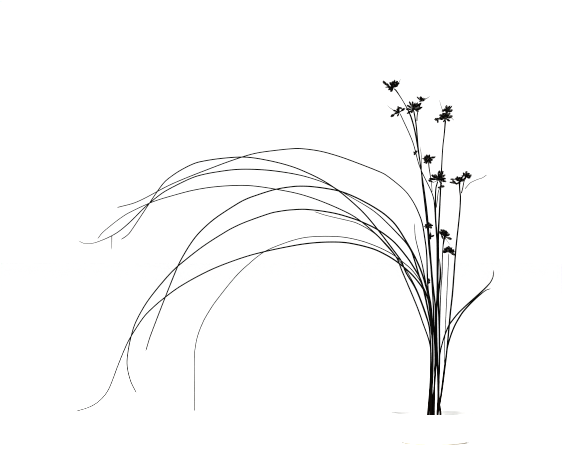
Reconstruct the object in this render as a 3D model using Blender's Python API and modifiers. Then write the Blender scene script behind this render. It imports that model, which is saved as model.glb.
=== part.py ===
"""A potted sedge: a clump of long arching leaves and flowering stems in a low glazed bowl.

The origin is the centre of the bowl's underside, +Z is up and the leaves arch towards -X.
Leaves and stems are set out in front elevation, in millimetres, and fan out in depth.
"""
import math

import bmesh
import bpy
from mathutils import Vector

MM = 0.001

# The bowl
BOWL_HEIGHT = 46 * MM
BOWL_RIM_RADIUS = 70 * MM
BOWL_FOOT_RADIUS = 48 * MM
BOWL_WALL = 5 * MM
BOWL_FLOOR = 6 * MM
BOWL_SIDES = 28
FOOT_BEVEL = 1.2 * MM
FLOOR_CORNER = 3 * MM
INSIDE_HEIGHTS = (16 * MM, 27 * MM)
OUTSIDE_HEIGHTS = (33 * MM, 22 * MM, 12 * MM, 4 * MM)

# The soil
SOIL_EDGE_Z = 35 * MM
SOIL_CROWN_Z = 39 * MM
SOIL_CROWN_RADIUS = 22 * MM
SOIL_SHOULDER_RADIUS = 44 * MM
SOIL_SHOULDER_Z = 36.2 * MM
GAP = 0.4 * MM

# Leaf blades and stems, all across
BLADE_WIDTH = 1.8 * MM
BLADE_DEPTH = 1.5 * MM
STEM_WIDTH = 2.6 * MM
STEM_FLAT = 0.72
# The rows of the clump one behind another: their spacing, and the row that stands at the centre
ROW_LEFT = 3.1
ROW_RIGHT = 3.0
CENTRE_ROW_LEFT = 4.5
CENTRE_ROW_RIGHT = 5

# The front elevation is what is seen from this far away, from this height and side
SIGHT_DISTANCE = 4215.0
SIGHT_X = -230.25
SIGHT_Z = 326.75
# A stem leans slowly at first: this far up it has got half of its full slope
LEAN_START = 200.0
# How far a leaf, a stem or a stalk may stray from its smooth line, and its shortest facet
LEAF_TOLERANCE = 0.6 * MM
STEM_TOLERANCE = 0.35 * MM
STALK_TOLERANCE = 0.15 * MM
SHORTEST_STEP = 3.5 * MM

# Where the stems of the clump stand, side by side, from the soil up to where they part
OUTER_LEFT = [
    (-10.3, 39), (-9.7, 48.5), (-9, 57.5), (-8.2, 66.5), (-7.5, 75.5), (-7, 84.5), (-6.3, 93.5),
    (-5.9, 102.5), (-5.7, 113), (-5.9, 130), (-6.1, 142)]
INNER_LEFT = [
    (-5.5, 39), (-5.4, 48.5), (-5.1, 57.5), (-4.8, 66.5), (-5.2, 75.5), (-4.8, 84.5), (-4.2, 93.5),
    (-3.5, 102.5), (-3.3, 111.5), (-3.2, 130), (-3.3, 148)]
NEAR_LEFT = [
    (-5, 39), (-4.8, 48.5), (-4.5, 57.5), (-4, 66.5), (-4.5, 75.5), (-4.2, 84.5), (-3.6, 93.5),
    (-2.9, 102.5), (-2.7, 111.5), (-2.7, 130), (-2.8, 148)]
MIDDLE = [
    (-1.6, 39), (-1.4, 48.5), (-1.2, 57.5), (-1.2, 66.5), (-0.8, 75.5), (-0.3, 84.5), (0.5, 93.5),
    (0.7, 102.5)]
NEAR_RIGHT = [
    (4.4, 39), (4.4, 48.5), (4.8, 57.5), (5.4, 66.5), (5.1, 75.5), (5, 84.5), (5.2, 93.5), (5, 102.5),
    (5, 111.5), (4.5, 120.5), (3.9, 129.5)]
OUTER_RIGHT = [
    (9, 39), (8.6, 48.5), (7.2, 57.5), (6.6, 66.5), (6.1, 75.5), (6.1, 84.5), (6.4, 93.5), (6.7, 102.5),
    (7, 111.5), (7.4, 120.5), (7.5, 129.5)]
LEANING_RIGHT = [
    (4.6, 39), (5.6, 48.5), (7.4, 57.5), (9.1, 66.5), (10.5, 75.5), (11.7, 84.5), (12.8, 93.5),
    (13.9, 102.5), (15.1, 111.5)]
# How far beside that line a piece stands at the soil; it comes in to the line on its way up
FOOT_SHIFTS = {
    "leaf_long_2": -0.3, "leaf_long_3": -1, "leaf_long_4": 1.6, "leaf_long_5": 0.6, "leaf_long_6": 0.5,
    "leaf_long_7": 0.3, "leaf_long_8": 0.5, "leaf_short": 1.2, "stem_4": 0.6, "stem_6": 0.3, "stem_7": -0.7}

# How wide a piece is along its length: (share of the length, width)
LONG_BLADE = [(0, 1.3), (0.3, 1.25), (0.6, 0.95), (0.78, 0.95), (1, 0.7)]
RIGHT_BLADE = [(0, 0.8), (0.35, 0.8), (0.55, 1), (0.85, 1), (1, 0.45)]
BROAD_BLADE = [(0, 1.05), (0.74, 1.05), (0.82, 1.6), (0.9, 1.6), (1, 0.5)]
# The leaves that are thinner or thicker in places than the others
OWN_BLADES = {
    "leaf_short": [(0, 1.3), (0.7, 1.1), (1, 0.45)],
    "leaf_long_6": [(0, 1.3), (0.3, 1.2), (0.45, 0.6), (0.6, 0.95), (0.9, 0.8), (1, 0.3)],
    "leaf_long_7": [(0, 1.3), (0.3, 1.1), (0.6, 0.9), (1, 0.95)],
    "leaf_long_8": [(0, 1.4), (0.34, 1.2), (0.42, 0.85), (0.53, 0.95), (0.8, 0.9), (1, 0.7)],
}

# Leaves: name, row in the clump from the front, slope in depth, width, foot, route on from the foot
LEFT_LEAVES = [
    ("leaf_long_1", 0, -0.17, 1.00, INNER_LEFT, [
        (-4.1, 165.5), (-5, 176), (-5.9, 183.5), (-6.9, 191), (-7.4, 198.5), (-8, 206), (-9.3, 213.5),
        (-12.2, 221), (-15.9, 228.5), (-21.2, 236), (-26.8, 244), (-32.7, 251), (-40.5, 258.5),
        (-47.5, 264.5), (-52.5, 269), (-60, 274), (-75, 283), (-90, 290), (-105, 294.5), (-135, 300.5),
        (-157, 301), (-180, 300), (-210, 296), (-240, 289.5), (-270, 283), (-300, 273.5), (-330, 262),
        (-360, 247), (-390, 229), (-420, 205), (-435, 190), (-445, 176), (-460, 151), (-470, 128),
        (-480, 103), (-488, 82), (-495, 71), (-505, 61), (-515, 55), (-525, 51), (-539, 47)]),
    ("leaf_long_2", 1, -0.135, 0.78, OUTER_LEFT, [
        (-7.8, 149.5), (-10.5, 157), (-13.2, 165.5), (-16.5, 176), (-18.9, 183.5), (-21.5, 191),
        (-24.3, 198.5), (-27, 206), (-29.9, 213.5), (-33, 221), (-36.3, 228.5), (-39.5, 236),
        (-42.8, 243.5), (-46.1, 251), (-49.1, 258.5), (-55.5, 275), (-67.5, 291.8), (-90, 315),
        (-120, 339), (-150, 354), (-180, 366), (-210, 375), (-240, 380.5), (-270, 385), (-297, 386),
        (-345, 382), (-375, 375.5), (-405, 367), (-430, 358.5), (-445, 351), (-460, 344), (-475, 334),
        (-490, 322), (-500, 313), (-505, 306)]),
    ("leaf_long_3", 2, -0.10, 1.05, INNER_LEFT, [
        (-3.9, 156.5), (-5.1, 165.5), (-6.2, 176), (-7.4, 183.5), (-8.9, 191), (-10.5, 198.5), (-12, 206),
        (-13.5, 213.5), (-15.2, 221), (-16.8, 228.5), (-18.2, 236), (-20.9, 243.5), (-24.8, 251),
        (-29, 258.5), (-33.3, 266), (-38, 273.5), (-43.7, 281), (-60, 300), (-75, 312.4), (-90, 322),
        (-120, 335.3), (-150, 344), (-180, 348.5), (-200, 350), (-240, 345.5), (-270, 336), (-300, 323.5),
        (-330, 306), (-360, 285), (-390, 260), (-405, 244), (-420, 226), (-435, 205), (-450, 176),
        (-457, 150), (-460, 133), (-461, 118), (-459, 105), (-455, 91), (-447, 75)]),
    ("leaf_long_4", 3, -0.065, 0.88, OUTER_LEFT, [
        (-6.4, 154), (-7, 165.5), (-8.4, 176), (-10.4, 183.5), (-13.1, 191), (-15.8, 198.5), (-18.3, 206),
        (-21, 213.5), (-23.8, 221), (-27.3, 228.5), (-31, 236), (-35.7, 243.5), (-40.2, 251),
        (-44.4, 258.5), (-47.1, 266), (-49.8, 272.5), (-58.5, 285), (-69.5, 298.5), (-84.5, 319),
        (-105, 343.5), (-120, 358), (-140, 375), (-165, 392), (-180, 400), (-210, 413), (-240, 421.5),
        (-270, 427), (-285, 428.5), (-315, 427), (-345, 423), (-360, 419), (-375, 412), (-390, 403),
        (-405, 391), (-415, 378), (-430, 355), (-440, 341), (-450, 325), (-460, 312), (-470, 305)]),
    ("leaf_long_5", 4, -0.03, 0.98, NEAR_LEFT, [
        (-3.2, 165.5), (-4.4, 176), (-5.1, 183.5), (-6, 191), (-6.6, 198.5), (-7.1, 206), (-7.7, 213.5),
        (-9.6, 221), (-12, 228.5), (-13.4, 236), (-15.3, 243.5), (-18.3, 251), (-20.4, 258.5),
        (-24, 267.4), (-27.1, 274.8), (-29.8, 280), (-37.5, 293.5), (-45, 307), (-52.5, 318.6),
        (-60, 329), (-75, 343), (-90, 353), (-105, 361.5), (-135, 375.5), (-150, 379), (-165, 382),
        (-195, 385), (-225, 383), (-255, 375.5), (-285, 364.5), (-300, 356), (-330, 336), (-345, 323),
        (-355, 313), (-365, 300), (-375, 284), (-385, 265), (-398, 232), (-413, 195), (-420, 176),
        (-427, 158), (-433, 138)]),
    ("leaf_short", 5, 0.0, 0.92, NEAR_LEFT, [
        (-2.9, 165.5), (-4.1, 176), (-4.8, 183.5), (-5.4, 191), (-6, 198.5), (-6.5, 206), (-7.4, 213.5),
        (-8.9, 221), (-10.7, 228.5), (-12.6, 236), (-13.7, 243.5), (-14.9, 251), (-16.4, 258.5),
        (-18.9, 269.8), (-21.2, 279.1), (-24.3, 290), (-28, 305), (-29.5, 315), (-30, 329)]),
    ("leaf_long_6", 6, 0.03, 0.97, NEAR_LEFT, [
        (-3.3, 165.5), (-4.5, 176), (-5.4, 183.5), (-6.6, 191), (-7.2, 198.5), (-7.8, 206), (-8.9, 213.5),
        (-11.1, 221), (-14.1, 228.5), (-17.9, 236), (-20.6, 243.5), (-23, 251), (-24.5, 258.5),
        (-27.1, 265.1), (-28.6, 269.8), (-30, 276), (-33, 284), (-37, 292), (-45, 303), (-60, 318.6),
        (-75, 334), (-90, 347), (-105, 357), (-135, 374), (-165, 390), (-195, 400), (-225, 406),
        (-255, 409.5), (-277, 410.5), (-300, 410), (-330, 406), (-360, 399), (-390, 385), (-405, 377),
        (-420, 366), (-435, 353), (-450, 338), (-465, 324), (-480, 313), (-495, 306), (-510, 300),
        (-517, 299), (-525, 299), (-534, 303)]),
    ("leaf_long_7", 7, 0.065, 0.67, NEAR_LEFT, [
        (-3.4, 156.5), (-4.7, 165.5), (-5.9, 176), (-7.1, 183.5), (-8.6, 191), (-10.2, 198.5),
        (-11.8, 206), (-13.3, 213.5), (-14.9, 221), (-16.4, 228.5), (-18.4, 236), (-21.8, 243.5),
        (-27, 251), (-33, 258.5), (-39, 264.5), (-44.2, 268.6), (-55, 277), (-64, 283.6), (-75, 289),
        (-90, 296), (-105, 301.6), (-135, 308.5), (-165, 310), (-195, 308), (-225, 300), (-240, 294),
        (-255, 287), (-270, 276), (-285, 262.5), (-300, 248), (-315, 229), (-330, 210), (-346, 184),
        (-354, 165), (-358, 150), (-360, 135), (-360.5, 120), (-360, 90), (-360, 47)]),
    ("leaf_long_8", 8, 0.10, 1.00, INNER_LEFT, [
        (-2.9, 165.5), (-3.1, 176), (-3.6, 183.5), (-4.1, 191), (-4.7, 198.5), (-5.3, 206), (-6.6, 213.5),
        (-8.1, 221), (-9.4, 228.5), (-9.9, 236), (-10.1, 243.5), (-10.4, 254), (-10.8, 266), (-11.3, 275),
        (-12.3, 290), (-14, 301), (-15.5, 313), (-17.7, 326), (-20.7, 337), (-25, 347), (-30, 358),
        (-37.5, 370), (-45, 379), (-60, 392), (-75, 403), (-105, 415.5), (-135, 427), (-165, 436),
        (-180, 439), (-207, 441.5), (-240, 438.5), (-270, 434), (-300, 425), (-330, 414), (-360, 402),
        (-390, 390), (-413, 379), (-435, 367), (-450, 360), (-465, 356), (-476, 353)]),
    ("leaf_long_9", 9, 0.14, 0.76, OUTER_LEFT, [
        (-6, 154), (-6.4, 165.5), (-7.6, 176), (-9.6, 183.5), (-12.2, 191), (-14.8, 198.5), (-17.4, 206),
        (-20.1, 213.5), (-22.8, 221), (-26.2, 228.5), (-29.6, 236), (-33.4, 243.5), (-37.6, 251),
        (-42, 258.5), (-47, 266), (-55, 276.5), (-62, 284), (-75, 299.5), (-90, 314.5), (-105, 324),
        (-120, 331), (-150, 338.5), (-165, 342), (-180, 347)]),
]
RIGHT_LEAVES = [
    ("leaf_right_1", -0.3, -0.20, 1.15, LEANING_RIGHT, [
        (16.4, 120.5), (17.7, 130), (18.9, 140), (21.4, 150), (24.2, 160), (27.4, 168.5), (31.3, 177.5),
        (36.1, 186), (42.1, 195.5), (49.8, 204.5), (57.5, 212.5), (65, 219), (72.6, 224.8), (78, 229.5),
        (84, 231.3)]),
    ("leaf_right_2", 10.2, 0.20, 1.25, OUTER_RIGHT, [
        (9.4, 138.5), (11.1, 148), (13.6, 157), (17, 167), (22, 177.5), (28.6, 186.5), (36.6, 196),
        (45.6, 205), (56, 214), (65, 222), (75.5, 232), (83, 240), (87, 247), (88.4, 253), (89, 259)]),
]
MIDDLE_BLADE = ("leaf_middle", 9, 0.15, 1.0, OUTER_RIGHT, [
    (7.4, 147.5), (7.2, 165.5), (6.8, 183.5), (6.5, 192.5), (6.2, 201.5), (6, 210.5), (6, 219.5),
    (6.5, 228.5), (7.5, 237.5), (8.6, 246.5), (8.9, 255.5), (8.6, 264.5), (7.9, 271.5), (7.5, 277)])

# Flowering stems: name, row, slope in depth, widths along the stem, foot, route on from the foot
STEMS = [
    ("stem_1", 1, -0.155, [(0, 0.95), (0.13, 1.2), (0.21, 1.2), (0.27, 0.95), (1, 0.72)], LEANING_RIGHT, [
        (16.4, 120.5), (17.7, 130), (18.6, 140), (19.7, 152), (20.9, 165), (22.6, 181), (23.8, 195),
        (25.2, 208), (26.8, 222), (28.4, 241), (30.2, 262), (31.6, 285), (33.5, 305), (35.2, 322),
        (37, 337), (38.2, 352), (38.9, 370), (37.9, 378), (37.5, 389)]),
    ("stem_2", 2, -0.10, [(0, 0.75), (0.4, 0.7), (0.7, 0.5), (0.95, 0.55), (1, 1.2)], OUTER_RIGHT, [
        (7.5, 140), (7.6, 160), (7.8, 178), (8.4, 191), (8.9, 204), (9.2, 222), (10.4, 240), (11.5, 256),
        (11.7, 274), (12.6, 292), (13.5, 301), (14.7, 307.4)]),
    ("stem_3", 3, -0.065, [(0, 1), (0.5, 0.85), (1, 0.72)], NEAR_RIGHT, [
        (3.7, 138.5), (3.4, 150), (3.1, 165.5), (3.1, 183.5), (3.2, 199), (4, 209), (4.5, 219.5),
        (4.3, 228.5), (4.2, 245), (4.2, 265), (4.4, 280), (4.2, 296), (3.9, 309), (2.7, 321),
        (1.9, 333.5), (1.5, 345), (1.4, 360), (1.6, 375), (2.4, 384), (4.9, 392.2)]),
    ("stem_4", 4, -0.03, [(0, 1), (0.6, 0.85), (0.73, 0.52), (1, 0.48)], MIDDLE, [
        (1.8, 111.5), (2.9, 120.5), (3.2, 129.5), (3, 138.5), (2.6, 156.5), (2.1, 174.5), (2.2, 192.5),
        (2.5, 201.5), (3.4, 210.5), (3.9, 219.5), (4, 232), (4, 250), (4, 270), (4, 290), (3.8, 302),
        (3.2, 312.5), (2.2, 323), (1.8, 333.5), (0.8, 344), (0.2, 354.5), (-1, 365), (-4.2, 375.5),
        (-8.9, 386), (-13.5, 396.5), (-19, 407), (-23.4, 417.5), (-26.2, 428), (-28.8, 438), (-33, 452),
        (-40, 468), (-45.5, 480.5), (-50.6, 491.5), (-51.7, 494)]),
    ("stem_5", 5, 0.0, [(0, 1.1), (0.6, 1), (0.7, 0.85), (0.9, 0.62), (0.95, 0.65), (1, 0.9)], OUTER_RIGHT, [
        (7.5, 140), (7.4, 160), (7.1, 178), (6.4, 192.5), (6, 201.5), (5.7, 210.5), (5.5, 219.5),
        (5.4, 228.5), (5, 237.5), (4.8, 250), (5, 264.5), (5.6, 278), (5.4, 290), (5.4, 302), (5.8, 313),
        (6.4, 326), (6.9, 340), (7.9, 354), (9, 372), (9.4, 388), (10, 403), (10.9, 418), (12, 438),
        (13.5, 452), (15, 467), (15.9, 479), (16.4, 484)]),
    ("stem_6", 6, 0.035, [(0, 0.95), (0.72, 0.85), (0.79, 0.6), (0.87, 0.75), (1, 0.75)], MIDDLE, [
        (1.6, 111.5), (2, 120.5), (2, 129.5), (1.8, 138.5), (1.6, 147.5), (1.2, 156.5), (0.9, 165.5),
        (0.8, 174.5), (0.9, 183.5), (1.4, 192.5), (1.4, 201.5), (0.4, 210.5), (-0.2, 219.5),
        (-1.4, 228.5), (-2.1, 237.5), (-3.2, 246.5), (-3.8, 255.5), (-4.4, 264.5), (-6, 281),
        (-7.1, 291.5), (-7.7, 302), (-8.4, 312.5), (-9.3, 323), (-10.2, 333.5), (-11.1, 344),
        (-12.3, 354.5), (-13.6, 365), (-15.2, 375.5), (-16.8, 386), (-18.3, 396.5), (-19.3, 407),
        (-22, 425), (-24.2, 440), (-26, 458), (-27.4, 476), (-29.6, 490), (-31, 498.2)]),
    ("stem_7", 7, 0.07, [
        (0, 0.8), (0.66, 0.8), (0.73, 0.5), (0.8, 0.75), (0.9, 0.85), (0.955, 0.45), (1, 0.8)], MIDDLE, [
        (0.3, 111.5), (0.9, 120.5), (0.7, 129.5), (0.6, 138.5), (0.4, 147.5), (-0.3, 156.5),
        (-0.8, 165.5), (-1.3, 174.5), (-1.5, 183.5), (-1.5, 192.5), (-1.5, 201.5), (-2.1, 210.5),
        (-2.7, 219.5), (-3.1, 228.5), (-3.5, 237.5), (-4.2, 246.5), (-4.7, 255.5), (-5.3, 264.5),
        (-6.9, 281), (-8.1, 291.5), (-8.9, 302), (-9.6, 312.5), (-10.5, 323), (-11.6, 333.5),
        (-12.6, 344), (-13.8, 354.5), (-15, 365), (-16.4, 375.5), (-17.9, 386), (-19, 396.5),
        (-19.9, 407), (-22.6, 425), (-24.6, 440), (-27.4, 458), (-32.9, 481.7), (-36.8, 493),
        (-41.4, 502.4), (-47.7, 513.4), (-54, 522.6), (-58.6, 529.8), (-60.9, 531.4)]),
    ("stem_8", 8, 0.13, [(0, 0.44), (1, 0.4)], LEANING_RIGHT, [
        (15.2, 120.5), (14.6, 130), (15, 140), (15.6, 150), (16.1, 165), (16.6, 180), (17.3, 196),
        (18, 212), (18.6, 226), (19.5, 243), (20.3, 258), (21, 274), (21.5, 284)]),
]

# Side stalks: name, depth where it leaves its stem and at its end, widths along it, route
STALKS = [
    ("stalk_1", 20.0, 27.5, [(0, 0.6), (1, 0.5)], [
        (-26.4, 483), (-26.2, 489), (-25.4, 495), (-23.4, 502), (-20.2, 510.3)]),
    ("stalk_2", -12.0, -19.5, [(0, 0.36), (0.7, 0.36), (0.8, 0.6), (1, 0.6)], [
        (-3.6, 376.5), (-4.2, 386), (-6.4, 400), (-7.9, 411), (-9, 421.6)]),
    ("stalk_3", -22.0, -25.0, [(0, 0.5), (1, 0.41)], [(2.6, 353), (4.1, 364), (5.2, 375), (7.9, 382.3)]),
    ("stalk_4", -46.5, -44.0, [(0, 0.6), (1, 0.5)], [
        (40.4, 374.5), (41.5, 378.5), (42.9, 384.5), (44.1, 391), (45.8, 396.3)]),
    ("bract_1", -49.0, -58.0, [(0, 0.33), (1, 0.26)], [
        (45.8, 381), (48.2, 385), (51.6, 388.4), (56, 391.2), (61, 393.6), (66.6, 395.8), (72.2, 397.6),
        (76.6, 399.8), (78.4, 401.9)]),
]

# Flower heads: name, centre, depth and spikelets. A spikelet is its tip's place and depth, its width
# and, where it doesn't grow from the centre, its foot's place and depth
HEADS = [
    ("flower_head_1", (-62.6, 532.6), 31.5, [
        (-70.2, 534, -3, 3.2), (-77, 542.2, 2, 3.2, -68.9, 533.8, -2.5), (-65.4, 526.8, 1, 3.2),
        (-73, 538.8, -1, 3.2, -66, 533.8, -1),
        (-69.2, 529.8, 4, 2.4), (-66.8, 540.8, -3, 2.8), (-63.2, 542, 3, 3.0), (-59.8, 543.8, 0, 2.8),
        (-55.8, 542.4, -3, 3.0), (-53.2, 540, 3, 3.0), (-55, 535.6, -4, 1.8),
        (-73.8, 533.4, -3, 1.3, -69, 533.8, -2.5), (-62, 537, -7, 3.0), (-64, 535, 7, 3.0),
        (-50.7, 546, 0, 0.9, -54.9, 538.7, 2.5)]),
    ("flower_head_2", (-52.5, 495.9), -13.0, [
        (-59.6, 494, -2, 2.8), (-65, 489.4, 2, 3.4, -58.2, 494.4, -1.6), (-56.3, 501.2, 3, 3.2),
        (-54.6, 504.6, -3, 2.4), (-48.8, 501.6, -3, 2.4, -54.3, 503.2, -2.5), (-44.9, 501.6, 3, 2.8),
        (-61.8, 498.8, -2, 2.2), (-55.6, 490, -3, 2.0),
        (-71.5, 506.8, 1, 0.8, -60, 498.2, -1.6)]),
    ("flower_head_3", (-31.3, 500.4), 16.0, [
        (-37.8, 511.4, 2, 2.4), (-33, 511.6, -3, 2.4), (-29.2, 509.8, 4, 2.2), (-41, 506.2, -3, 2.4),
        (-42.4, 500.4, 1, 2.4), (-40.8, 494.2, -3, 2.4), (-34.6, 495.2, 3, 2.4), (-25.4, 510, -4, 2.2),
        (-20.9, 508.8, 2, 3.2), (-18.8, 503.2, 1, 2.4), (-21.4, 500.8, 5, 2.4), (-24.1, 497.4, -2, 2.4)]),
    ("flower_head_4", (-19.7, 512.5), 28.5, [
        (-20.9, 519.4, 1, 3.4), (-14, 515.9, -2, 3.0), (-26.2, 518.8, 0, 1.8), (-23, 512.4, -3, 1.5),
        (-17.4, 517.2, 5, 2.4), (-18.5, 515, -5, 2.4), (-6.8, 520, 2, 1.1, -15.5, 515, -1.5)]),
    ("flower_head_5", (16.6, 486.2), 0.0, [
        (7, 486.6, -2, 4.0), (0.6, 484.8, 2, 3.6, 8.8, 486.5, -1.6), (4.9, 480.2, 3, 2.2, 4.8, 485.7, 0),
        (8, 492, 3, 3.6), (12.6, 494.8, -3, 3.4), (15.6, 494.4, 3, 2.4), (22.8, 494.4, 3, 3.2),
        (26.5, 490, -2, 3.4), (22.8, 482.8, -4, 2.8), (13.4, 481.4, 3, 1.8), (18, 489, -6, 3.0),
        (15, 489, 6, 3.0), (18.9, 498.2, 0, 3.0), (15.4, 501, -2, 2.8, 18.4, 495.6, 0),
        (11.5, 497.2, -2, 3.0, 16, 500, -1.6), (18, 505.8, 2, 3.2, 18.4, 495.6, 0),
        (22.8, 505.2, -3, 2.6, 18.4, 495.6, 0), (26.9, 499.2, 0, 3.4, 18.4, 495.6, 0),
        (26, 505.2, 3, 1.5, 18.4, 495.6, 0), (29.5, 483.6, 1, 0.9, 24.4, 489.1, -1.5),
        (7.2, 514.8, 1, 0.8, 12.4, 497.8, -1.9)]),
    ("flower_head_6", (-29.2, 435.4), -17.0, [
        (-30.3, 431.8, -1, 2.8), (-26.2, 437.8, -2, 3.0), (-31.6, 436.4, -3, 1.6)]),
    ("flower_head_7", (-9.5, 423.8), -20.0, [
        (-15.6, 424, -2, 2.6), (-17.9, 426.8, 2, 1.8), (-14.8, 429.4, 3, 3.8), (-11.8, 431.8, -3, 3.4),
        (-7.6, 432, -3, 2.6), (-4.6, 428.4, 1, 2.8), (1, 428.6, 1, 2.6, -5.7, 427.5, 0.8),
        (-5.2, 419.6, -3, 3.2), (-2.8, 424.8, -2, 2.8), (-16, 420.2, -2, 2.2), (-12.8, 418.8, 3, 2.2),
        (-9, 427, -6, 3.0), (-10, 426, 6, 3.0)]),
    ("flower_head_8", (5.6, 394.6), -22.5, [
        (-7.2, 396.2, 2, 2.8), (-3.8, 401.6, -3, 3.2), (0.8, 402.2, 4, 3.2), (7.4, 407.8, -2, 3.4),
        (12.2, 407.2, 3, 3.8), (15.6, 401.8, -3, 2.8), (16.4, 396.4, 2, 2.8), (17, 392, -2, 2.6),
        (10.8, 388.6, 3, 2.0), (-2.6, 390.4, 0, 1.2), (-8.8, 394, -3, 3.0, -1.8, 390.8, 0),
        (4, 399, -7, 3.2), (8, 398, 7, 3.2)]),
    ("flower_head_9", (9, 384), -26.5, [
        (14.6, 384.9, -1, 3.0), (10.4, 387.4, -3, 2.4), (5.2, 382.5, -3, 2.2)]),
    ("flower_head_10", (37.9, 391.2), -48.5, [
        (32.6, 387.8, 2, 2.2), (27, 393.4, -3, 2.6, 33.7, 388.5, 1.6),
        (23, 391.2, 3, 1.8, 33.3, 388.2, 1.7), (24, 395.4, 2, 1.8, 33.3, 395.4, -2.2),
        (31.6, 397, -3, 3.2), (34, 399.4, 3, 2.8), (37.6, 398.4, -3, 3.4), (41, 398.8, 3, 3.4),
        (45.2, 395.6, -3, 3.4), (37, 395, -6, 3.2), (39, 394, 6, 3.2)]),
    ("flower_head_11", (46.6, 398.6), -44.0, [
        (43.2, 405, -2, 2.6), (48.2, 407.2, 2, 3.0), (52.2, 404.6, -3, 2.8), (55.3, 401.2, 1, 3.2),
        (53.6, 397.6, 3, 2.8), (46, 402.4, -5, 3.0), (48.5, 401, 6, 3.0),
        (38.9, 401.2, 2, 1.0, 45.2, 401.2, -0.8)]),
    ("flower_head_12", (-9.4, 325.2), 5.6, [
        (-14, 327.2, -3, 2.6), (-13.4, 322.2, -3, 2.6), (-15.7, 324.6, -2, 1.4), (-8.2, 330.4, -2, 3.0),
        (-5.2, 328.2, -4, 2.8), (-2.3, 326.3, -1, 2.2), (-4.2, 322.2, -3, 2.8), (-10, 326, -7, 2.8)]),
    ("flower_head_13", (-6.5, 308.7), 10.5, [
        (-0.7, 311.2, 1, 2.4), (-5.7, 313.4, -2, 2.8), (-6.1, 315.6, -2, 1.6), (-5.9, 305.4, -1, 2.4),
        (-5.4, 320.4, -1, 0.7, -6.2, 313, -1.2)]),
    ("flower_head_14", (14.9, 309.6), -25.5, [
        (7, 316.8, 1, 3.2), (10.2, 319.8, -3, 3.8), (14.2, 319.4, 3, 3.8), (17.5, 318, -3, 3.6),
        (20.2, 316.2, 2, 2.0), (22.5, 313, -2, 3.4), (20.6, 307.2, 1, 1.8),
        (25.5, 305.4, 1, 3.2, 19.4, 307.7, 0.8), (13, 314, -7, 3.2), (16, 314, 7, 3.2),
        (24.8, 295.4, 2, 0.6)]),
    ("flower_head_15", (21.4, 286.2), 29.0, [
        (12, 287, 2, 3.6), (14.8, 291.4, -3, 3.6), (18.2, 293.4, 3, 3.4), (21.4, 294.6, -3, 3.4),
        (25.6, 292.8, 3, 3.4), (29.2, 289.4, -2, 3.4), (30.1, 286.6, 2, 2.4), (30.7, 281.9, 3, 2.8),
        (19, 290, -7, 3.2), (23, 290, 7, 3.2)]),
    ("flower_bud", (-8.5, 242.8), 15.2, [
        (-8.7, 246.4, 0, 3.2), (-7.4, 244.8, -1, 2.8), (-8.4, 239, 0, 3.2)]),
]
HEAD_CORE_WIDTH = 3.4
SPIKELET_FULLNESS = 1.2
# How much further out than its middle a spikelet is widest, as a share of its length
CLUB_SHIFT = 0.12


def clear_scene():
    for obj in list(bpy.data.objects):
        bpy.data.objects.remove(obj)


def new_collection(name):
    collection = bpy.data.collections.new(name)
    bpy.context.scene.collection.children.link(collection)
    return collection


def material(name, colour, roughness):
    mat = bpy.data.materials.new(name)
    mat.use_nodes = True
    shader = mat.node_tree.nodes["Principled BSDF"]
    shader.inputs["Base Color"].default_value = (*colour, 1.0)
    shader.inputs["Roughness"].default_value = roughness
    shader.inputs["Metallic"].default_value = 0.0
    return mat


def add_object(name, data, collection, mat=None):
    obj = bpy.data.objects.new(name, data)
    collection.objects.link(obj)
    if mat is not None:
        data.materials.append(mat)
    return obj


def set_back(x, z, depth):
    """The point at this depth that is seen at (x, z) in the front elevation, in metres."""
    stretch = 1.0 + depth / SIGHT_DISTANCE
    return Vector((SIGHT_X + (x - SIGHT_X) * stretch, depth, SIGHT_Z + (z - SIGHT_Z) * stretch)) * MM


def smooth_line(points, step=2.0):
    """A Catmull-Rom curve through the points of an elevation, with a point about every step."""
    points = [Vector(point) for point in points]
    ends = [points[0] * 2 - points[1]] + points + [points[-1] * 2 - points[-2]]
    line = []
    for before, start, end, after in zip(ends, ends[1:], ends[2:], ends[3:]):
        knots = [0.0]
        for a, b in ((before, start), (start, end), (end, after)):
            knots.append(knots[-1] + math.sqrt((b - a).length))
        count = max(1, round((end - start).length / step))
        for index in range(count):
            t = knots[1] + (knots[2] - knots[1]) * index / count
            line.append(catmull_rom(before, start, end, after, knots, t))
    line.append(points[-1])
    return line


def catmull_rom(before, start, end, after, knots, t):
    k0, k1, k2, k3 = knots
    a1 = before.lerp(start, (t - k0) / (k1 - k0))
    a2 = start.lerp(end, (t - k1) / (k2 - k1))
    a3 = end.lerp(after, (t - k2) / (k3 - k2))
    b1 = a1.lerp(a2, (t - k0) / (k2 - k0))
    b2 = a2.lerp(a3, (t - k1) / (k3 - k1))
    return b1.lerp(b2, (t - k1) / (k2 - k1))


def thin_out(line, tolerance):
    """The fewest points of the line that stay within the tolerance of it."""
    start = line[0][0]
    span = line[-1][0] - start
    worst = 0.0
    split = 0
    for index in range(1, len(line) - 1):
        offset = line[index][0] - start
        distance = (offset - offset.project(span)).length
        if distance > worst:
            worst = distance
            split = index
    if worst <= tolerance:
        return [line[0], line[-1]]
    return thin_out(line[: split + 1], tolerance)[:-1] + thin_out(line[split:], tolerance)


def shifted_foot(name, foot):
    """The foot line with the piece's own shift at the soil, all gone at the line's top."""
    soil = foot[0][1]
    top = foot[-1][1]
    return [(x + FOOT_SHIFTS.get(name, 0.0) * (top - z) / (top - soil), z) for x, z in foot]


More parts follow.
